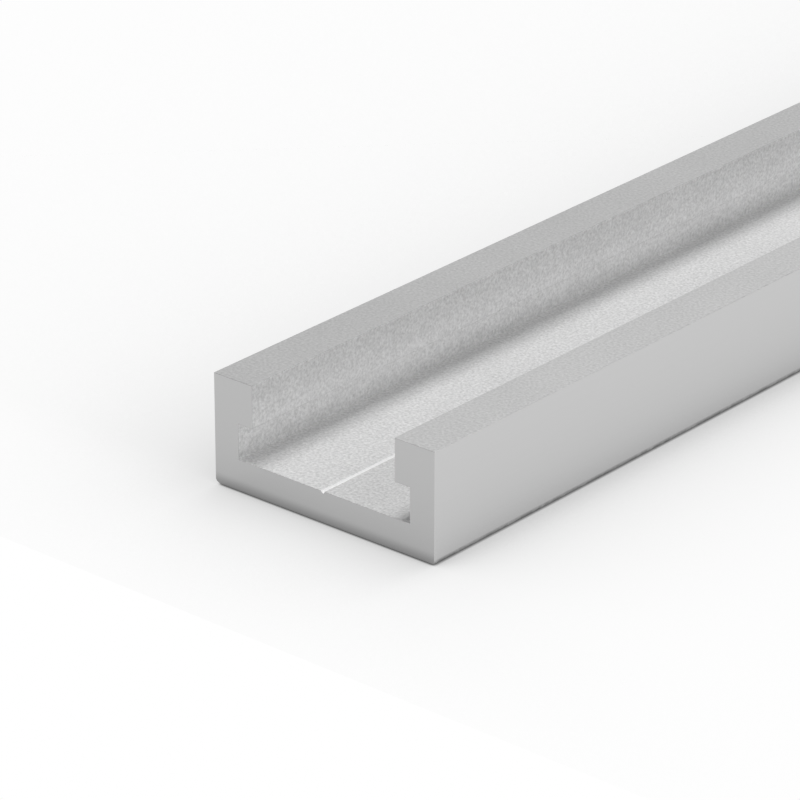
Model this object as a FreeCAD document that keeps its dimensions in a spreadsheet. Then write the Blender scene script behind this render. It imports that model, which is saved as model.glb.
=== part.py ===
# Aluminium T-track: one extruded bar with a T-shaped slot along its top.
#
# The section is an open channel. Two side walls stand on a thick floor, and each
# carries a thick lip that reaches in over the slot. The gap between the lips is the
# mouth, where a bar or a bolt slides; the wider, lower space under the lips is the
# undercut, which holds the head of a T-bolt or a T-nut. A thin V groove runs down the
# middle of the floor and marks where a screw is drilled.
#
# Frame, in millimetres: X runs across the track, Y along it and Z up. The origin lies in
# the middle of the flat underside, so the track lies on Z = 0.

import FreeCAD, Part
import os
import Sketcher
from enum import IntEnum

# Driving sizes. The width and height of the whole track add up from these:
# mouth, lip overhangs and walls across it; floor, undercut and lip up it.
SIZES = (
    ("stock_length", 300.0, "length of the sawn piece"),
    ("mouth_width", 19.4, "gap between the lips, for a 19 mm bar"),
    ("lip_overhang", 2.0, "how far each lip reaches in past its wall"),
    ("wall_thickness", 3.3, "each side wall beside the undercut"),
    ("lip_thickness", 4.95, "height of each lip"),
    ("undercut_height", 4.05, "clear height under the lips"),
    ("floor_thickness", 3.8, "underside to the slot's floor"),
    ("top_round", 0.1, "radius along the two outer corners at the top"),
    ("bottom_round", 0.5, "radius along the two outer corners at the bottom"),
    ("lip_round", 0.1, "radius along the lips' inner corners"),
    ("groove_width", 0.6, "guide groove across its top"),
    ("groove_depth", 0.3, "guide groove to the tip of its V"),
)

NODE = "t_track"

# Two points closer than this, in millimetres, are the same corner.
SAME_PLACE = 1e-6


class SketchNumber(IntEnum):
    """How a constraint names the ends of a line and the sketch's own axes."""

    LINE_START = 1
    LINE_END = 2
    ORIGIN = -1
    UPRIGHT_AXIS = -2


ORIGIN_POINT = (SketchNumber.ORIGIN, SketchNumber.LINE_START)


def make_sheet(doc):
    """Write the driving sizes into the document's spreadsheet, one a row."""
    sheet = doc.addObject("Spreadsheet::Sheet", "Sizes")
    for row, (alias, millimetres, meaning) in enumerate(SIZES, start=1):
        sheet.set(f"A{row}", meaning)
        sheet.set(f"B{row}", str(millimetres))
        sheet.setAlias(f"B{row}", alias)
    doc.recompute()
    return sheet


def section_corners(sheet):
    """Name each corner of the section and give its place, X then Z.

    The corners run round the outline once, from the underside's left end.
    """
    mouth = sheet.mouth_width / 2
    undercut = mouth + sheet.lip_overhang
    side = undercut + sheet.wall_thickness
    groove = sheet.groove_width / 2
    floor = sheet.floor_thickness
    lip = floor + sheet.undercut_height
    top = lip + sheet.lip_thickness
    return {
        "left_bottom": (-side, 0.0),
        "right_bottom": (side, 0.0),
        "right_top": (side, top),
        "right_lip_top": (mouth, top),
        "right_lip_under": (mouth, lip),
        "right_undercut_top": (undercut, lip),
        "right_undercut_floor": (undercut, floor),
        "right_groove": (groove, floor),
        "groove_tip": (0.0, floor - sheet.groove_depth),
        "left_groove": (-groove, floor),
        "left_undercut_floor": (-undercut, floor),
        "left_undercut_top": (-undercut, lip),
        "left_lip_under": (-mouth, lip),
        "left_lip_top": (-mouth, top),
        "left_top": (-side, top),
    }


def draw_section(body, corners):
    """Draw the closed outline on the body's XZ plane and fix it by the sheet's sizes."""
    sketch = body.newObject("Sketcher::SketchObject", "TrackSection")
    for plane in body.Origin.OriginFeatures:
        if plane.Role == "XZ_Plane":
            sketch.AttachmentSupport = [(plane, "")]
    sketch.MapMode = "FlatFace"

    names = list(corners)
    places = [FreeCAD.Vector(x, z, 0) for x, z in corners.values()]
    for index, place in enumerate(places):
        following = places[(index + 1) % len(places)]
        sketch.addGeometry(Part.LineSegment(place, following), False)
        is_level = place.y == following.y
        is_upright = place.x == following.x
        if is_level:
            sketch.addConstraint(Sketcher.Constraint("Horizontal", index))
        if is_upright:
            sketch.addConstraint(Sketcher.Constraint("Vertical", index))
    for index in range(len(places)):
        following = (index + 1) % len(places)
        ends = (index, SketchNumber.LINE_END, following, SketchNumber.LINE_START)
        sketch.addConstraint(Sketcher.Constraint("Coincident", *ends))

    def corner(name):
        return names.index(name), SketchNumber.LINE_START

    def mirrored(first, second, *about):
        ends = (*corner(first), *corner(second), *about)
        sketch.addConstraint(Sketcher.Constraint("Symmetric", *ends))

    def sized(alias, direction, first, second):
        """Hold the distance from the first point to the second at the sheet's size."""
        axis = 0 if direction == "DistanceX" else 1
        from_place = places[first[0]] if first[0] >= 0 else FreeCAD.Vector()
        gap = (places[second[0]] - from_place)[axis]
        number = sketch.addConstraint(Sketcher.Constraint(direction, *first, *second, gap))
        sketch.renameConstraint(number, alias)
        sketch.setExpression(f"Constraints.{alias}", f"Sizes.{alias}")

    # The track is the same on both sides of its middle.
    mirrored("left_bottom", "right_bottom", *ORIGIN_POINT)
    mirrored("left_lip_top", "right_lip_top", SketchNumber.UPRIGHT_AXIS)
    mirrored("left_undercut_top", "right_undercut_top", SketchNumber.UPRIGHT_AXIS)
    mirrored("left_groove", "right_groove", SketchNumber.UPRIGHT_AXIS)
    tip = (*corner("groove_tip"), SketchNumber.UPRIGHT_AXIS)
    sketch.addConstraint(Sketcher.Constraint("PointOnObject", *tip))

    # Across the track.
    sized("mouth_width", "DistanceX", corner("left_lip_top"), corner("right_lip_top"))
    sized("lip_overhang", "DistanceX", corner("right_lip_under"), corner("right_undercut_top"))
    sized("wall_thickness", "DistanceX", corner("right_undercut_floor"), corner("right_bottom"))
    sized("groove_width", "DistanceX", corner("left_groove"), corner("right_groove"))

    # Up the track.
    sized("floor_thickness", "DistanceY", ORIGIN_POINT, corner("right_undercut_floor"))
    sized("undercut_height", "DistanceY", corner("right_undercut_floor"), corner("right_undercut_top"))
    sized("lip_thickness", "DistanceY", corner("right_lip_under"), corner("right_lip_top"))
    sized("groove_depth", "DistanceY", corner("groove_tip"), corner("left_groove"))
    return sketch


def extrude_section(body, sketch):
    """Run the section along Y, half the length each way from the origin."""
    pad = body.newObject("PartDesign::Pad", "Extrusion")
    pad.Profile = sketch
    pad.SideType = "Symmetric"
    pad.setExpression("Length", "Sizes.stock_length")
    sketch.Visibility = False
    return pad


def long_edges(shape, places):
    """Name the edges that run along the track through any of these corners."""
    found = []
    for number, edge in enumerate(shape.Edges, start=1):
        near = edge.firstVertex().Point
        far = edge.lastVertex().Point
        for x, z in places:
            starts_here = abs(near.x - x) < SAME_PLACE and abs(near.z - z) < SAME_PLACE
            ends_here = abs(far.x - x) < SAME_PLACE and abs(far.z - z) < SAME_PLACE
            if starts_here and ends_here:
                found.append(f"Edge{number}")
    return found


def round_edges(body, base, name, radius_alias, places):
    """Round the long edges at these corners of the section."""
    edges = long_edges(base.Shape, places)
    if len(edges) != len(places):
        raise RuntimeError(f"{name}: {len(edges)} edges found for {len(places)} corners")
    rounding = body.newObject("PartDesign::Fillet", name)
    rounding.Base = (base, edges)
    rounding.setExpression("Radius", f"Sizes.{radius_alias}")
    return rounding


def make_track(doc, sheet):
    """Build the track: the section, its extrusion, then the rounds along its corners."""
    body = doc.addObject("PartDesign::Body", "Track")
    body.Label = NODE
    corners = section_corners(sheet)
    section = draw_section(body, corners)
    bar = extrude_section(body, section)
    doc.recompute()

    rounds = (
        ("BottomRounds", "bottom_round", ("left_bottom", "right_bottom")),
        ("TopRounds", "top_round", ("left_top", "right_top")),
        ("LipRounds", "lip_round", ("left_lip_top", "left_lip_under", "right_lip_top", "right_lip_under")),
    )
    rounded = bar
    for name, radius_alias, corner_names in rounds:
        places = [corners[corner_name] for corner_name in corner_names]
        rounded = round_edges(body, rounded, name, radius_alias, places)
        doc.recompute()
    return body


def check_document(doc):
    """Stop if any object failed to build."""
    for item in doc.Objects:
        failed = [state for state in item.State if state in ("Invalid", "Error")]
        if failed:
            raise RuntimeError(f"{item.Label} did not build: {failed}")


def check_solid(body):
    """Stop unless the body is one sound solid."""
    shape = body.Shape
    if shape.isNull() or not shape.isValid() or len(shape.Solids) != 1:
        raise RuntimeError(f"{body.Label} is not one valid solid")


doc = FreeCAD.newDocument("TTrack")
sizes = make_sheet(doc)
track = make_track(doc, sizes)
check_document(doc)
check_solid(track)

os.makedirs("parts", exist_ok=True)
track.Shape.exportStep(f"parts/{track.Label}.step")

box = track.Shape.BoundBox
section_area = track.Shape.Volume / box.YLength
print(f"{track.Label}: {box.XLength:.2f} x {box.YLength:.2f} x {box.ZLength:.2f} mm")
print(f"section {section_area:.2f} mm2, volume {track.Shape.Volume:.1f} mm3")
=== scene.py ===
# %% [markdown]
# # Aluminium T-track
#
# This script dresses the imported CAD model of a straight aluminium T-track, a 300 mm length of
# extruded bar with a T-shaped slot along its top. The bar gets a finer mesh with soft edges, a
# clear anodised finish that differs a little from surface to surface, and soft studio light on
# a sheet of pale paper.
#
# Everything is in metres. X runs across the track, Y along it and Z up, and the track's flat
# underside lies on Z = 0. The section's sizes are written in millimetres, as a maker reads
# them, and are turned into metres where the mesh is made.

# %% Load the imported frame
import math

import bmesh
import bpy
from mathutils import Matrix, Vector


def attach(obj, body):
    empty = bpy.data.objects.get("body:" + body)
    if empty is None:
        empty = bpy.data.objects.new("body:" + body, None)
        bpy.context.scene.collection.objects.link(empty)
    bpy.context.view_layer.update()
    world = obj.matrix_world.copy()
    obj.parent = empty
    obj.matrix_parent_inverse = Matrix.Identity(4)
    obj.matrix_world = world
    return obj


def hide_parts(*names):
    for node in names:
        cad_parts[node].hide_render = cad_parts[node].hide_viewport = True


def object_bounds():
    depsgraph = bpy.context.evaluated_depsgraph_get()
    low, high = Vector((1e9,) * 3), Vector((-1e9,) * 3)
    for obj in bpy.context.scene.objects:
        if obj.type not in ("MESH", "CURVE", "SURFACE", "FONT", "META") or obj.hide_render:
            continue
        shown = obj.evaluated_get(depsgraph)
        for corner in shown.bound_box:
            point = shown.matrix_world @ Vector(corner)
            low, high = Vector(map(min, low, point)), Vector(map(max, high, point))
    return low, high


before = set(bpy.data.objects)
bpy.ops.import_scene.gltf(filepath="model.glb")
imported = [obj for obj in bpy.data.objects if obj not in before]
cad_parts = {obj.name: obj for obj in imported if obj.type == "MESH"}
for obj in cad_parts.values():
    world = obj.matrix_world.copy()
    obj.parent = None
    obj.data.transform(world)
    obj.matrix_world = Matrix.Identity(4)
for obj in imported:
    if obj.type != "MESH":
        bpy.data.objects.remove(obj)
cad_low, cad_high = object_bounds()
MM = 0.001
print("CAD nodes:", len(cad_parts))
print("CAD box:", [round(side / MM, 2) for side in cad_high - cad_low], "mm")

# %% [markdown]
# ## The section
#
# An extrusion is pressed through a die, so its section is the same all along. The track could
# be put together from boxes, but their joints would show, and the real bar is one piece. So it
# is one outline, drawn out along Y. The outer sizes come from the CAD box, and the slot's sizes
# add up from the mouth, the lips' overhang, the floor and the undercut's height.
#
# The bottom corners are clearly round. The top corners, the lips' inner corners and the edges
# of the guide groove are only just broken, and the corners inside the slot are sharp.

# %% Sizes of the section
HALF_WIDTH = round(cad_high.x / MM, 3)
HALF_LENGTH = round(cad_high.y / MM, 3)
HEIGHT = round(cad_high.z / MM, 3)
HALF_MOUTH = 9.7
LIP_OVERHANG = 2.0
SLOT_FLOOR = 3.8
UNDERCUT_HEIGHT = 4.05
HALF_GROOVE = 0.25
GROOVE_DEPTH = 0.28
HALF_UNDERCUT = HALF_MOUTH + LIP_OVERHANG
UNDERCUT_TOP = SLOT_FLOOR + UNDERCUT_HEIGHT

BOTTOM_ROUND = 0.6
TOP_ROUND = 0.06
LIP_ROUND = 0.06
GROOVE_ROUND = 0.06
TIP_ROUND = 0.04
SHARP = 0.0
print("slot:", 2 * HALF_MOUTH, "mm mouth over a", 2 * HALF_UNDERCUT, "mm undercut")

# %% [markdown]
# The right half of the outline is listed corner by corner, and the left half is its mirror
# image. A corner is its X and Z, its radius and its wear. Wear is how much an edge is rubbed:
# most on the bottom corners, some under the lips, where bolts and nuts pass, and next to none
# on the top. On the bottom corners the value also holds painted shade, which darkens the edge
# where the track meets the paper.

# %% Corners of the section
# The bottom corners' value is rubbing and painted shade together.
BOTTOM_WEAR_AND_SHADE = 0.6
UNDER_LIP_WEAR = 0.28
TOP_WEAR = 0.02
UNWORN = 0.0

RIGHT_HALF = [
    (HALF_WIDTH, 0.0, BOTTOM_ROUND, BOTTOM_WEAR_AND_SHADE),
    (HALF_WIDTH, HEIGHT, TOP_ROUND, TOP_WEAR),
    (HALF_MOUTH, HEIGHT, LIP_ROUND, TOP_WEAR),
    (HALF_MOUTH, UNDERCUT_TOP, LIP_ROUND, UNDER_LIP_WEAR),
    (HALF_UNDERCUT, UNDERCUT_TOP, SHARP, UNWORN),
    (HALF_UNDERCUT, SLOT_FLOOR, SHARP, UNWORN),
    (HALF_GROOVE, SLOT_FLOOR, GROOVE_ROUND, UNWORN),
]
GROOVE_TIP = (0.0, SLOT_FLOOR - GROOVE_DEPTH, TIP_ROUND, UNWORN)
LEFT_HALF = [(-x, z, radius, wear) for x, z, radius, wear in reversed(RIGHT_HALF)]
CORNERS = RIGHT_HALF + [GROOVE_TIP] + LEFT_HALF
print("section corners:", len(CORNERS))


# %% [markdown]
# Each round corner becomes an arc of short steps. A spoke from the arc's centre turns from the
# face before the corner to the face after it, whatever the angle between them.
#
# Every point of the outline carries its wear, which the finishes read later. A worn arc gets
# one unworn point on the flat face at each side, so that the wear ends there and doesn't
# spread over the face. Toward the underside the value grows further. That part is painted
# shade: its darker metal stands in for the shadow in the line where the track meets the paper.

# %% Round the corners of the section
ARC_STEPS = 6
WEAR_FADE = 0.12
# Painted shade: the value added toward the underside darkens the bottom edge as shade where the track meets
# the paper.
UNDERSIDE_SHADE = 1.5


def lowness(height):
    """Say how near the underside a height is: 1 on it, 0 above the bottom round."""
    return max(0.0, 1.0 - height / BOTTOM_ROUND)


def rounded_outline(corners):
    """Return the outline's points and their wear and painted shade, with an arc in place of each round
    corner.
    """
    points = []
    for index, (x, z, radius, wear) in enumerate(corners):
        here = Vector((x, z))
        if radius == SHARP:
            points.append((here, UNWORN))
            continue
        before = Vector(corners[index - 1][:2])
        after = Vector(corners[(index + 1) % len(corners)][:2])
        back = (before - here).normalized()
        onward = (after - here).normalized()
        bend = (-back).angle(onward)
        run = radius * math.tan(bend / 2)
        centre = here + (back + onward).normalized() * (radius / math.cos(bend / 2))
        first = here + back * run - centre
        last = here + onward * run - centre
        if wear > UNWORN:
            points.append((here + back * (run + WEAR_FADE), UNWORN))
        for step in range(ARC_STEPS + 1):
            turned = bend * step / ARC_STEPS
            spoke = (first * math.sin(bend - turned) + last * math.sin(turned)) / math.sin(bend)
            point = centre + spoke
            points.append((point, wear + UNDERSIDE_SHADE * lowness(point.y)))
        if wear > UNWORN:
            points.append((here + onward * (run + WEAR_FADE), UNWORN))
    return points


outline = rounded_outline(CORNERS)
print("outline points:", len(outline))


# %% [markdown]
# ## The bar
#
# The bar is a stack of rings along Y, all with the same number of points, joined by quads. A
# saw leaves a sharp end that is then deburred. A bevel modifier would round that edge too, but
# it would also cut into the arcs of the section, which are nearly as small. So the last rings
# step inwards on a small quarter circle instead. The end's lower edge is the one that gets
# knocked, so it is broken more.

# %% Step the last rings inwards
END_EASE = 0.05
LOW_END_EASE = 0.4
EASE_STEPS = 4


def ease_at(height):
    """Say how far the end's edge is broken at this height on the section."""
    return END_EASE + (LOW_END_EASE - END_EASE) * lowness(height)


def inset_point(points, index, amount):
    """Return one point of the closed outline moved inwards, square to its edges."""
    here = points[index]
    before = (here - points[index - 1]).normalized()
    after = (points[(index + 1) % len(points)] - here).normalized()
    normal_before = Vector((-before.y, before.x))
    normal_after = Vector((-after.y, after.x))
    middle = (normal_before + normal_after).normalized()
    return here + middle * (amount / middle.dot(normal_before))


def end_ring(points, turn):
    """Return the ring of the eased end at this turn of its quarter circle, as (x, y, z)."""
    ring = []
    for index, point in enumerate(points):
        ease = ease_at(point.y)
        moved = inset_point(points, index, ease * (1 - math.sin(turn)))
        along = HALF_LENGTH - ease * (1 - math.cos(turn))
        ring.append((moved.x, along, moved.y))
    return ring


# %% [markdown]
# One end's rings are listed from the cut face inwards, and the other end's are their mirror
# image. The innermost ring of each end is the plain section, so that the eased end's shading
# stops there. Between the two the bar is straight and needs no more rings.

# %% List the rings from one end to the other
def bar_rings(points):
    """List the rings of one end from the outside in, then those of the other from the inside out."""
    end = [end_ring(points, math.pi / 2 * step / EASE_STEPS) for step in range(EASE_STEPS + 1)]
    body_start = HALF_LENGTH - LOW_END_EASE - WEAR_FADE
    end.append([(point.x, body_start, point.y) for point in points])
    near_end = [[(x, -y, z) for x, y, z in ring] for ring in end]
    return near_end + end[::-1]


rings = bar_rings([point for point, wear in outline])
print("rings along the bar:", len(rings))

# %% [markdown]
# Each strip of the section gets one of eight finishes by where it lies. The outer sides and
# the underside share one. Each lip top has its own, because the right one carries painted light
# and the left one painted shade, and so has the slot's bed on each side of the groove, because
# the right half is painted a little darker as shade. The slot's walls, the guide groove and the
# sawn ends have the others. A small slack takes in the strips that lie right on the slot's faces.

# %% Choose a finish for each strip
SIDES, LEFT_LIP, RIGHT_LIP, SLOT_WALL, LEFT_BED, RIGHT_BED, GROOVE, ENDS = range(8)
GROOVE_EDGE = 0.02
SLACK = 0.06


def strip_finish(start, end):
    """Say which finish the strip between two neighbouring points of the section has."""
    middle = (start + end) / 2
    is_below_bed = SLOT_FLOOR - GROOVE_DEPTH < middle.y < SLOT_FLOOR - GROOVE_EDGE
    if is_below_bed and abs(middle.x) < HALF_GROOVE:
        return GROOVE
    if middle.y > HEIGHT - LIP_ROUND / 2 and abs(middle.x) < HALF_WIDTH - TOP_ROUND / 2:
        return LEFT_LIP if middle.x < 0.0 else RIGHT_LIP
    if abs(middle.x) < HALF_UNDERCUT + SLACK and middle.y > SLOT_FLOOR / 2:
        if middle.y > SLOT_FLOOR + SLACK:
            return SLOT_WALL
        return LEFT_BED if middle.x < 0.0 else RIGHT_BED
    return SIDES


# %% [markdown]
# Deburring leaves sawn metal on the end's broken edge. That shows beside the slot's walls and
# along the underside, so the strips there take the finish of the ends. Elsewhere the broken
# edge is so narrow that the finish beside it runs over it.

# %% Choose a finish for each face
def face_finish(start, end, pairs_from_end):
    """Say which finish a face has, by its strip and by how many pairs of rings lie outside it."""
    finish = strip_finish(start, end)
    is_low = start.y + end.y < BOTTOM_ROUND
    if is_low and pairs_from_end <= EASE_STEPS:
        return ENDS
    if finish == SLOT_WALL and pairs_from_end < EASE_STEPS:
        return ENDS
    return finish


# %% [markdown]
# The rings go into a bmesh, which takes points and faces one by one. Each point keeps its wear,
# with the painted shade near the underside, in a layer of its own, and each quad gets the number
# of its finish.

# %% Place and join the rings
def add_rings(build, rings, section_wear_and_shade):
    """Add the rings' points, each with its wear and painted shade, and return them ring by ring."""
    wear_and_shade_layer = build.verts.layers.float.new("edge_wear_and_shade")
    placed = []
    for ring in rings:
        verts = [build.verts.new(Vector(place) * MM) for place in ring]
        for vert, wear in zip(verts, section_wear_and_shade):
            vert[wear_and_shade_layer] = wear
        placed.append(verts)
    return placed


def join_rings(build, placed, points):
    """Join each ring to the next with one quad for each strip of the section."""
    count = len(points)
    last_pair = len(placed) - 2
    for number, (ring, following) in enumerate(zip(placed, placed[1:])):
        pairs_from_end = min(number, last_pair - number)
        for index in range(count):
            onward = (index + 1) % count
            face = build.faces.new((ring[index], ring[onward], following[onward], following[index]))
            face.material_index = face_finish(points[index], points[onward], pairs_from_end)


# %% [markdown]
# All faces are shaded smooth, which the arcs need. Where two faces meet at more than the sharp
# angle, as in the corners of the slot, the edge between them stays crisp.

# %% Build the bar's mesh
SHARP_ANGLE = math.radians(35)


def build_bar(outline, rings):
    """Build the bar's mesh: the rings joined by quads, with a flat face on each end."""
    mesh = bpy.data.meshes.new("t_track_bar")
    build = bmesh.new()
    placed = add_rings(build, rings, [wear for point, wear in outline])
    join_rings(build, placed, [point for point, wear in outline])
    for cap in (placed[0], placed[-1]):
        build.faces.new(cap).material_index = ENDS
    bmesh.ops.recalc_face_normals(build, faces=build.faces)
    for face in build.faces:
        face.smooth = True
    build.to_mesh(mesh)
    build.free()
    mesh.set_sharp_from_angle(angle=SHARP_ANGLE)
    return mesh


bar_mesh = build_bar(outline, rings)
print("bar faces:", len(bar_mesh.polygons))

# %% [markdown]
# Smooth shading spreads an arc's bend over the flat faces beside it, which then look swollen.
# A weighted normal modifier gives the large faces the say, so they stay flat and only the arcs
# look round. The bar then takes the CAD node's place.

# %% Put the bar in the scene
FULL_WEIGHT = 100

bar = bpy.data.objects.new("t_track_bar", bar_mesh)
bpy.context.scene.collection.objects.link(bar)
weights = bar.modifiers.new("flat faces stay flat", "WEIGHTED_NORMAL")
weights.keep_sharp = True
weights.weight = FULL_WEIGHT
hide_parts("t_track")
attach(bar, "root")
print("piece:", bar.name)


# %% [markdown]
# ## Marks on the metal
#
# A node group holds an effect that several finishes can share, with its own named inputs. The
# helpers below add a node with its settings and its links in one call, which keeps each group
# short enough to read.

# %% Helpers for nodes
def add_node(tree, kind, inputs=None, **settings):
    """Add a node. An input is given a number, or another node's socket to link from."""
    node = tree.nodes.new(kind)
    for name, value in settings.items():
        setattr(node, name, value)
    for name, value in (inputs or {}).items():
        socket = node.inputs[name]
        if isinstance(value, bpy.types.NodeSocket):
            tree.links.new(value, socket)
        else:
            socket.default_value = value
    return node


def math_node(tree, operation, first, second):
    """Add a node that works out one number from two, and return its result."""
    return add_node(tree, "ShaderNodeMath", {0: first, 1: second}, operation=operation).outputs[0]


def object_place(tree):
    """Return each point's place on the object, in metres."""
    return add_node(tree, "ShaderNodeTexCoord").outputs["Object"]


def new_group(name, inputs, outputs):
    """Start a shader node group and return it with its input sockets and its output node."""
    group = bpy.data.node_groups.new(name, "ShaderNodeTree")
    for socket_name, value in inputs.items():
        socket = group.interface.new_socket(socket_name, in_out="INPUT", socket_type="NodeSocketFloat")
        socket.default_value = value
    for socket_name in outputs:
        group.interface.new_socket(socket_name, in_out="OUTPUT", socket_type="NodeSocketFloat")
    start = group.nodes.new("NodeGroupInput")
    end = group.nodes.new("NodeGroupOutput")
    return group, start.outputs, end


# %% [markdown]
# A tone is a factor on the metal's colour that lies about 1. A noise lies about one half and
# seldom strays far from it, so its distance from one half is stretched before it is used.

# %% Turn a noise into a change of tone
NOISE_MIDDLE = 0.5
NOISE_STRETCH = 6.0


def tone_change(tree, noise, amount, stretch=NOISE_STRETCH):
    """Return how far the noise moves the tone up or down, which the amount scales."""
    centred = math_node(tree, "SUBTRACT", noise, NOISE_MIDDLE)
    strength = math_node(tree, "MULTIPLY", amount, stretch)
    return math_node(tree, "MULTIPLY", centred, strength)


# %% [markdown]
# **Blasted grain.** Blasting with glass beads leaves a skin of tiny overlapping dents, about a
# third of a millimetre across, and the anodised film over it looks finely speckled. Dents cut
# into the mesh would need millions of faces, so they are a bump: a cell pattern gives them
# their height. A fine noise gives the speckle, and a wide one gives the slight cloudiness of a
# hand-held blast.

# %% Blasted grain
CLOUD_SCALE = 110.0
CLOUD_STRETCH = 4.0


def blasted_grain():
    """Build the group for the blasted faces."""
    inputs = {"Dent Size": 0.00032, "Speckle": 0.1, "Cloud": 0.02}
    group, given, end = new_group("blasted_grain", inputs, ("Tone", "Height"))
    place = object_place(group)
    scale = math_node(group, "DIVIDE", 1.0, given["Dent Size"])
    speckle = add_node(group, "ShaderNodeTexNoise", {
        "Vector": place, "Scale": scale, "Detail": 2.0, "Roughness": 0.6,
    }).outputs["Fac"]
    cloud = add_node(group, "ShaderNodeTexNoise", {
        "Vector": place, "Scale": CLOUD_SCALE, "Detail": 2.0,
    }).outputs["Fac"]
    dents = add_node(group, "ShaderNodeTexVoronoi", {
        "Vector": place, "Scale": scale,
    }, feature="F1").outputs["Distance"]
    speckle_part = tone_change(group, speckle, given["Speckle"])
    cloud_part = tone_change(group, cloud, given["Cloud"], CLOUD_STRETCH)
    both = math_node(group, "ADD", speckle_part, cloud_part)
    group.links.new(math_node(group, "ADD", both, 1.0), end.inputs["Tone"])
    group.links.new(dents, end.inputs["Height"])
    return group


grain_group = blasted_grain()
print("group:", grain_group.name)


# %% [markdown]
# **Extrusion lines.** The die draws faint lines along the bar. They are one noise, which
# changes quickly across the track and slowly along it. Separate scratches would look drawn on,
# because the real lines have no ends.

# %% Extrusion lines
LINES_ACROSS = 5000.0
LINES_ALONG = 12.0


def extrusion_lines():
    """Build the group for the faces that the die alone has marked."""
    inputs = {"Contrast": 0.004}
    group, given, end = new_group("extrusion_lines", inputs, ("Tone", "Height"))
    stretched = add_node(group, "ShaderNodeMapping", {
        "Vector": object_place(group), "Scale": (LINES_ACROSS, LINES_ALONG, LINES_ACROSS),
    })
    lines = add_node(group, "ShaderNodeTexNoise", {
        "Vector": stretched.outputs["Vector"], "Scale": 1.0, "Detail": 3.0,
    }).outputs["Fac"]
    change = tone_change(group, lines, given["Contrast"])
    group.links.new(math_node(group, "ADD", change, 1.0), end.inputs["Tone"])
    group.links.new(lines, end.inputs["Height"])
    return group


lines_group = extrusion_lines()
print("group:", lines_group.name)


# %% [markdown]
# **Saw marks.** A circular saw of 250 mm cuts the ends, so its fine scratches are arcs about
# the blade's middle, which passes beside and below the track. A noise that depends only on the
# distance from that middle draws them all at once, with the right curve.

# %% Saw marks
BLADE_MIDDLE = (0.055, 0.0, -0.105)
ACROSS_THE_END = (1.0, 0.0, 1.0)


def saw_marks():
    """Build the group for the sawn ends."""
    inputs = {"Contrast": 0.004, "Spacing": 0.00016}
    group, given, end = new_group("saw_marks", inputs, ("Tone", "Height"))
    offset = add_node(group, "ShaderNodeVectorMath", {
        0: object_place(group), 1: BLADE_MIDDLE,
    }, operation="SUBTRACT")
    flat = add_node(group, "ShaderNodeVectorMath", {
        0: offset.outputs["Vector"], 1: ACROSS_THE_END,
    }, operation="MULTIPLY")
    radius = add_node(group, "ShaderNodeVectorMath", {0: flat.outputs["Vector"]}, operation="LENGTH")
    scale = math_node(group, "DIVIDE", 1.0, given["Spacing"])
    marks = add_node(group, "ShaderNodeTexNoise", {
        "W": radius.outputs["Value"], "Scale": scale, "Detail": 3.0,
    }, noise_dimensions="1D").outputs["Fac"]
    change = tone_change(group, marks, given["Contrast"])
    group.links.new(math_node(group, "ADD", change, 1.0), end.inputs["Tone"])
    group.links.new(marks, end.inputs["Height"])
    return group


saw_group = saw_marks()
print("group:", saw_group.name)


# %% [markdown]
# ** Edge wear and painted shade.** A rubbed edge loses its film first, and the metal under it is
# duller. Wear can be found from the mesh's own curvature, but that takes every edge for alike.
# Here the mesh carries the wear of each corner on its points, and a noise breaks it up into
# patches. Near the underside the same mask also carries painted shade, which darkens the bottom
# edge where the track meets the paper.

# %% Edge wear and painted shade
PATCH_SCALE = 900.0
PATCH_NOISE = (0.3, 0.6)
PATCH_WEAR = (0.5, 1.0)


def edge_wear_and_shade():
    """Build the group that says how much each spot is worn, and near the underside how much shade is
    painted on it.
    """
    inputs = {"Amount": 1.0}
    group, given, end = new_group("edge_wear_and_shade", inputs, ("Mask",))
    painted = add_node(group, "ShaderNodeAttribute", attribute_name="edge_wear_and_shade").outputs["Fac"]
    patches = add_node(group, "ShaderNodeTexNoise", {
        "Vector": object_place(group), "Scale": PATCH_SCALE, "Detail": 2.0,
    })
    broken = add_node(group, "ShaderNodeMapRange", {
        "Value": patches.outputs["Fac"],
        "From Min": PATCH_NOISE[0], "From Max": PATCH_NOISE[1],
        "To Min": PATCH_WEAR[0], "To Max": PATCH_WEAR[1],
    }).outputs["Result"]
    wear_and_shade_mask = math_node(group, "MULTIPLY", painted, broken)
    group.links.new(math_node(group, "MULTIPLY", wear_and_shade_mask, given["Amount"]), end.inputs["Mask"])
    return group


wear_and_shade_group = edge_wear_and_shade()
print("group:", wear_and_shade_group.name)


# %% [markdown]
# ** Painted contact shade.** The lowest millimetre and a half of a sawn end is painted darker,
# as shade where the end meets the paper. It depends only on the height above the underside, so
# the mesh needs no points for it.

# %% Painted contact shade
def painted_contact_shade():
    """Build the group that paints shade on a sawn end toward its lower edge."""
    inputs = {"Amount": 0.36, "Start": 0.0002, "End": 0.00165}
    group, given, end = new_group("painted_contact_shade", inputs, ("Tone",))
    height = add_node(group, "ShaderNodeSeparateXYZ", {"Vector": object_place(group)}).outputs["Z"]
    unshaded = add_node(group, "ShaderNodeMapRange", {
        "Value": height, "From Min": given["Start"], "From Max": given["End"],
    }, interpolation_type="SMOOTHSTEP").outputs["Result"]
    shaded = math_node(group, "SUBTRACT", 1.0, unshaded)
    loss = math_node(group, "MULTIPLY", shaded, given["Amount"])
    group.links.new(math_node(group, "SUBTRACT", 1.0, loss), end.inputs["Tone"])
    return group


contact_shade_group = painted_contact_shade()
print("group:", contact_shade_group.name)


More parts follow.
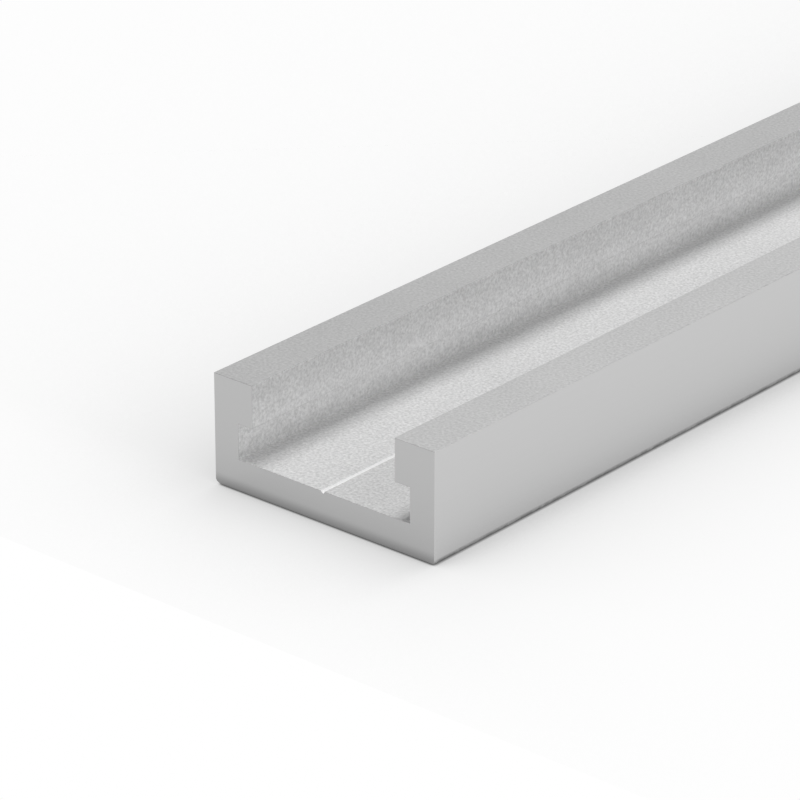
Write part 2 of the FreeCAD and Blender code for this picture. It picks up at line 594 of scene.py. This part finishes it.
# %% [markdown]
# ## The eight finishes
#
# All eight are the same clear anodised aluminium: a neutral grey metal with a broad, matte
# reflection. A single material would look flat, since each face was pressed, blasted or sawn
# in its own way. So one function makes them all, and they differ in tone, in roughness, in
# which marks they carry and in how strong these are. Some of the tones also hold painted light
# and shade, on the lips and in the slot.

# %% Make a finish
WORN_ROUGHNESS = 0.3
# The tone loss dulls worn edges, and near the underside it paints shade on the bottom edge.
WEAR_AND_SHADE_TONE = -0.42


def anodised_finish(name, tone, roughness, marks, values, depth, has_wear_and_shade=True, contact_shade=0.0):
    """Make a finish whose tone and height come from one of the mark groups."""
    material = bpy.data.materials.new(name)
    material.use_nodes = True
    tree = material.node_tree
    shader = tree.nodes["Principled BSDF"]
    shader.inputs["Metallic"].default_value = 1.0
    shader.inputs["Roughness"].default_value = roughness
    mark = add_node(tree, "ShaderNodeGroup", values, node_tree=marks)
    base = math_node(tree, "MULTIPLY", mark.outputs["Tone"], tone)
    # A sawn end can get painted shade toward its lower edge, where it meets the paper.
    if contact_shade:
        low = add_node(tree, "ShaderNodeGroup", {"Amount": contact_shade}, node_tree=contact_shade_group)
        base = math_node(tree, "MULTIPLY", base, low.outputs["Tone"])
    # The wear mask dulls rubbed edges and, near the underside, paints shade where the track meets the
    # paper.
    if has_wear_and_shade:
        wear_and_shade_mask = add_node(tree, "ShaderNodeGroup", node_tree=wear_and_shade_group).outputs["Mask"]
        darkened = math_node(tree, "MULTIPLY", wear_and_shade_mask, WEAR_AND_SHADE_TONE)
        base = math_node(tree, "MULTIPLY", base, math_node(tree, "ADD", darkened, 1.0))
        rougher = math_node(tree, "MULTIPLY", wear_and_shade_mask, WORN_ROUGHNESS)
        tree.links.new(math_node(tree, "ADD", rougher, roughness), shader.inputs["Roughness"])
    tree.links.new(base, shader.inputs["Base Color"])
    bump = add_node(tree, "ShaderNodeBump", {
        "Height": mark.outputs["Height"], "Strength": 1.0, "Distance": depth,
    })
    tree.links.new(bump.outputs["Normal"], shader.inputs["Normal"])
    return material


# %% [markdown]
# The lips and the slot's bed are blasted fully and look the most matte. The slot's walls are
# reached only at a glancing angle, so they keep more gloss. The slot's walls and bed have a
# lighter tone than the outside, which is painted light in the recess. The right lip's tone is
# painted light and the left lip's painted shade, and the right half of the bed is painted a
# little darker as shade. The outer sides carry little but the die's lines. The groove is too
# narrow for the beads and stays bright.

# %% The finishes, in the order of their numbers
DENT_DEPTH = 0.000001
LINE_DEPTH = 0.0000003
LIP_GRAIN = {"Speckle": 0.09}
SLOT_GRAIN = {"Speckle": 0.125}
GROOVE_GRAIN = {"Speckle": 0.03}
FAINT = {"Contrast": 0.004}

finishes = [
    anodised_finish("satin_sides", 0.60, 0.3, lines_group, FAINT, LINE_DEPTH),
    # The lips' tones are painted light on the right one and painted shade on the left one.
    anodised_finish("blasted_left_lip_painted_shade", 0.563, 0.75, grain_group, LIP_GRAIN, DENT_DEPTH),
    anodised_finish("blasted_right_lip_painted_light", 0.615, 0.75, grain_group, LIP_GRAIN, DENT_DEPTH),
    # The slot's lighter tones are painted light in the recess, and the right bed is painted a little darker
    # as shade.
    anodised_finish("blasted_slot_walls_painted_light", 0.835, 0.5, grain_group, SLOT_GRAIN, DENT_DEPTH),
    anodised_finish("blasted_left_bed_painted_light", 0.722, 0.66, grain_group, SLOT_GRAIN, DENT_DEPTH),
    anodised_finish("blasted_right_bed_painted_light_and_shade", 0.69, 0.66, grain_group, SLOT_GRAIN, DENT_DEPTH),
    anodised_finish("cut_groove", 0.92, 0.6, grain_group, GROOVE_GRAIN, DENT_DEPTH),
    # The sawn ends carry painted shade toward their lower edge.
    anodised_finish("sawn_ends", 0.505, 0.3, saw_group, FAINT, LINE_DEPTH, has_wear_and_shade=False, contact_shade=0.36),
]
for material in finishes:
    bar.data.materials.append(material)
print("finishes:", [material.name for material in finishes])

# %% [markdown]
# ## Floor
#
# The track lies on a wide sheet of matte white paper. The paper is set a little under the bar,
# which keeps the joint between them dark, as a real bar's slightly uneven underside does.

# %% Lay the paper
PAPER_HALF_SIDE = 4.0
PAPER_GAP = 0.00006

floor_mesh = bpy.data.meshes.new("floor")
floor_corners = [
    (x * PAPER_HALF_SIDE, y * PAPER_HALF_SIDE, -PAPER_GAP)
    for x, y in ((-1, -1), (1, -1), (1, 1), (-1, 1))
]
floor_mesh.from_pydata(floor_corners, [], [(0, 1, 2, 3)])
floor = bpy.data.objects.new("floor", floor_mesh)
bpy.context.scene.collection.objects.link(floor)
print("floor:", 2 * PAPER_HALF_SIDE, "m square")

# %% [markdown]
# A few lamps throw several shadows with visible borders, while the real studio's white walls
# leave one soft shade round the bar. Many more lamps would give that too, but they would wash
# out the metal. So the camera and the metal see the paper with a brightness worked out for
# it, and all other light meets a plain white paint.
#
# An ambient occlusion node measures how much of the room the bar hides from each point of the
# paper, and a curve turns that share into brightness: dark in the joint under the bar, nearly
# white a few centimetres away.

# %% The paper's paint
SHADE_REACH = 0.12
SHADE_SAMPLES = 16

floor_paint = bpy.data.materials.new("floor_paint")
floor_paint.use_nodes = True
paint_tree = floor_paint.node_tree
paint = paint_tree.nodes["Principled BSDF"]
paint.inputs["Base Color"].default_value = (0.92, 0.92, 0.92, 1.0)
paint.inputs["Roughness"].default_value = 0.9
paint.inputs["Specular IOR Level"].default_value = 0.0
open_sky = add_node(
    paint_tree, "ShaderNodeAmbientOcclusion", {"Distance": SHADE_REACH}, samples=SHADE_SAMPLES,
).outputs["AO"]
print("paper shaded within", SHADE_REACH, "m of the bar")


# %% [markdown]
# One curve can't be right on every side of the bar, so a helper makes as many as are needed,
# each from its own stops, and a ramp lets one take over from another along the paper.

# %% Helpers for the shade
def shade_curve(tree, points):
    """Turn the share of open room into the paper's brightness."""
    node = add_node(tree, "ShaderNodeFloatCurve", {"Value": open_sky})
    stops = node.mapping.curves[0].points
    for share, brightness in points[1:-1]:
        stops.new(share, brightness)
    stops[0].location = points[0]
    stops[len(stops) - 1].location = points[-1]
    node.mapping.update()
    return node.outputs["Value"]


def ramp(tree, value, start, end):
    """Rise smoothly from 0 at the start to 1 at the end."""
    settings = {"Value": value, "From Min": start, "From Max": end}
    return add_node(tree, "ShaderNodeMapRange", settings, interpolation_type="SMOOTHSTEP").outputs["Result"]


# %% [markdown]
# The light is stronger from some sides than from others, so the shade in front of the sawn end
# isn't that beside the bar, and the two sides differ as well. Each has a curve of its own, as
# pairs of the open share and the brightness. The front's curve holds everywhere at first. A
# side's curve takes over across a few millimetres at the bar's side, and along a stretch that
# starts in front of the sawn end and is over a little behind it.

# %% Shade the paper
FRONT_SHADE = [
    (0.0, 0.01), (0.35, 0.37), (0.5, 0.62), (0.57, 0.715), (0.69, 0.765),
    (0.84, 0.845), (0.91, 0.905), (0.97, 0.95), (1.0, 0.995),
]
RIGHT_SHADE = [
    (0.0, 0.01), (0.35, 0.37), (0.5, 0.62), (0.54, 0.67), (0.61, 0.79),
    (0.68, 0.845), (0.81, 0.91), (0.92, 0.955), (1.0, 0.995),
]
LEFT_SHADE = [
    (0.0, 0.02), (0.4, 0.434), (0.435, 0.479), (0.505, 0.591), (0.565, 0.672),
    (0.69, 0.74), (0.79, 0.791), (0.84, 0.831), (0.93, 0.885), (0.965, 0.918), (1.0, 0.985),
]
SIDEWAYS_START = 0.013
SIDEWAYS_END = 0.018
RIGHT_START = -0.170
LEFT_START = -0.156
ALONG_END = -0.146

place = add_node(paint_tree, "ShaderNodeSeparateXYZ", {"Vector": object_place(paint_tree)}).outputs
across, along = place["X"], place["Y"]
front = shade_curve(paint_tree, FRONT_SHADE)
shaded_white = front
for points, direction, along_start in ((RIGHT_SHADE, 1.0, RIGHT_START), (LEFT_SHADE, -1.0, LEFT_START)):
    difference = math_node(paint_tree, "SUBTRACT", shade_curve(paint_tree, points), front)
    beside = ramp(paint_tree, along, along_start, ALONG_END)
    outwards = math_node(paint_tree, "MULTIPLY", across, direction)
    sideways = ramp(paint_tree, outwards, SIDEWAYS_START, SIDEWAYS_END)
    share = math_node(paint_tree, "MULTIPLY", sideways, beside)
    part = math_node(paint_tree, "MULTIPLY", share, difference)
    shaded_white = math_node(paint_tree, "ADD", shaded_white, part)
print("shade curves: front, right and left")

# %% [markdown]
# The paper's near edge lies 23.5 mm in front of the sawn end, and past that edge the table is
# plain white. The brightness goes to rays from the camera, to reflections in the metal and to
# rays that pass through something clear. Other rays meet the paint, and none of the paper's
# own brightness is taken for a lamp.

# %% Show the shade to the camera and the metal
PAPER_EDGE = -0.1735

past_edge = math_node(paint_tree, "LESS_THAN", along, PAPER_EDGE)
brightness = math_node(paint_tree, "MAXIMUM", shaded_white, past_edge)
look = add_node(paint_tree, "ShaderNodeEmission", {"Strength": brightness})
rays = add_node(paint_tree, "ShaderNodeLightPath").outputs
seen = math_node(paint_tree, "MAXIMUM", rays["Is Camera Ray"], rays["Is Glossy Ray"])
seen = math_node(paint_tree, "MAXIMUM", seen, rays["Is Transmission Ray"])
paper_look = add_node(paint_tree, "ShaderNodeMixShader", {
    0: seen,
    1: paint.outputs["BSDF"],
    2: look.outputs["Emission"],
})
paper_surface = paint_tree.nodes["Material Output"].inputs["Surface"]
paint_tree.links.new(paper_look.outputs["Shader"], paper_surface)
floor_paint.cycles.emission_sampling = "NONE"
floor_mesh.materials.append(floor_paint)
print("paper's near edge:", PAPER_EDGE, "m")

# %% [markdown]
# ## Light
#
# The room is plain white to the camera and through clear things. The metal sees it at only a
# quarter of that strength, and all other rays at a fifth, because a fully white room would
# light the slot's walls and bed alike and wash out the shading between them.

# %% Room
ROOM_FILL = 0.2
ROOM_IN_METAL = 0.25

world = bpy.data.worlds.new("studio")
world.use_nodes = True
world_tree = world.node_tree
rays = add_node(world_tree, "ShaderNodeLightPath").outputs
seen = math_node(world_tree, "MAXIMUM", rays["Is Camera Ray"], rays["Is Transmission Ray"])
white_part = math_node(world_tree, "MULTIPLY", seen, 1.0 - ROOM_FILL)
metal_part = math_node(world_tree, "MULTIPLY", rays["Is Glossy Ray"], ROOM_IN_METAL - ROOM_FILL)
extra = math_node(world_tree, "ADD", white_part, metal_part)
strength = math_node(world_tree, "ADD", extra, ROOM_FILL)
background = world_tree.nodes["Background"]
background.inputs["Color"].default_value = (1.0, 1.0, 1.0, 1.0)
world_tree.links.new(strength, background.inputs["Strength"])
bpy.context.scene.world = world
bpy.context.scene.view_settings.view_transform = "Standard"
print("world:", world.name)

# %% [markdown]
# Six round softboxes hang two metres away. Each is given by the direction that it lights from,
# the angle that it fills as seen from the bar, and its brightness. A lamp's power is set from
# its area, so two lamps of the same brightness look equally bright, whatever their size.

# %% Helpers for the softboxes
LAMP_DISTANCE = 2.0
LIT_MIDDLE = Vector((0.0, -0.1, 0.0))


def toward(azimuth, elevation):
    """Return the unit vector for an azimuth from the near end towards +X and an elevation."""
    turn = math.radians(azimuth)
    rise = math.radians(elevation)
    return Vector((
        math.sin(turn) * math.cos(rise),
        -math.cos(turn) * math.cos(rise),
        math.sin(rise),
    ))


def add_softbox(name, azimuth, elevation, spread, brightness):
    """Hang a round softbox that faces the bar and is hidden from the camera."""
    data = bpy.data.lights.new(name, "AREA")
    data.shape = "DISK"
    data.size = 2 * LAMP_DISTANCE * math.tan(math.radians(spread / 2))
    data.energy = brightness * (math.pi * data.size) ** 2
    lamp = bpy.data.objects.new(name, data)
    direction = toward(azimuth, elevation)
    lamp.location = LIT_MIDDLE + direction * LAMP_DISTANCE
    lamp.rotation_mode = "QUATERNION"
    lamp.rotation_quaternion = (-direction).to_track_quat("-Z", "Y")
    lamp.visible_camera = False
    bpy.context.scene.collection.objects.link(lamp)


# %% [markdown]
# The two brightest, above the slot and past the far end, light the lips and the slot's bed.
# The one on the right lights the outer side that the camera sees. The others are weak and keep
# the rest from going dull.

# %% Softboxes
SOFTBOXES = [
    ("softbox_above", 270, 85, 26, 1.35),
    ("softbox_far_end", 180, 60, 26, 1.55),
    ("softbox_right", 90, 34, 36, 0.64),
    ("softbox_far_right", 135, 34, 36, 0.21),
    ("softbox_left", 270, 34, 36, 0.24),
    ("softbox_far_left", 225, 13, 24, 0.10),
]
for softbox in SOFTBOXES:
    add_softbox(*softbox)
print("softboxes:", len(SOFTBOXES))

# %% [markdown]
# ## Camera
#
# The photograph looks along the slot from the near right and above, through a long lens, which
# keeps the track's edges almost parallel. Its line of sight is given by an azimuth and an
# elevation, as the softboxes' directions are.

# %% Camera
CAMERA_AZIMUTH = 40.494
CAMERA_ELEVATION = 24.582
CAMERA_PLACE = Vector((281.214, -467.137, 207.945)) * MM

camera_data = bpy.data.cameras.new("camera")
camera_data.lens = 206.17
camera_data.sensor_width = 36.0
camera_data.clip_start = 0.01
camera_data.clip_end = 50.0
camera = bpy.data.objects.new("camera", camera_data)
camera.location = CAMERA_PLACE
camera.rotation_mode = "QUATERNION"
camera.rotation_quaternion = (-toward(CAMERA_AZIMUTH, CAMERA_ELEVATION)).to_track_quat("-Z", "Y")
bpy.context.scene.collection.objects.link(camera)
bpy.context.scene.camera = camera
print("camera at", [round(value, 3) for value in CAMERA_PLACE])
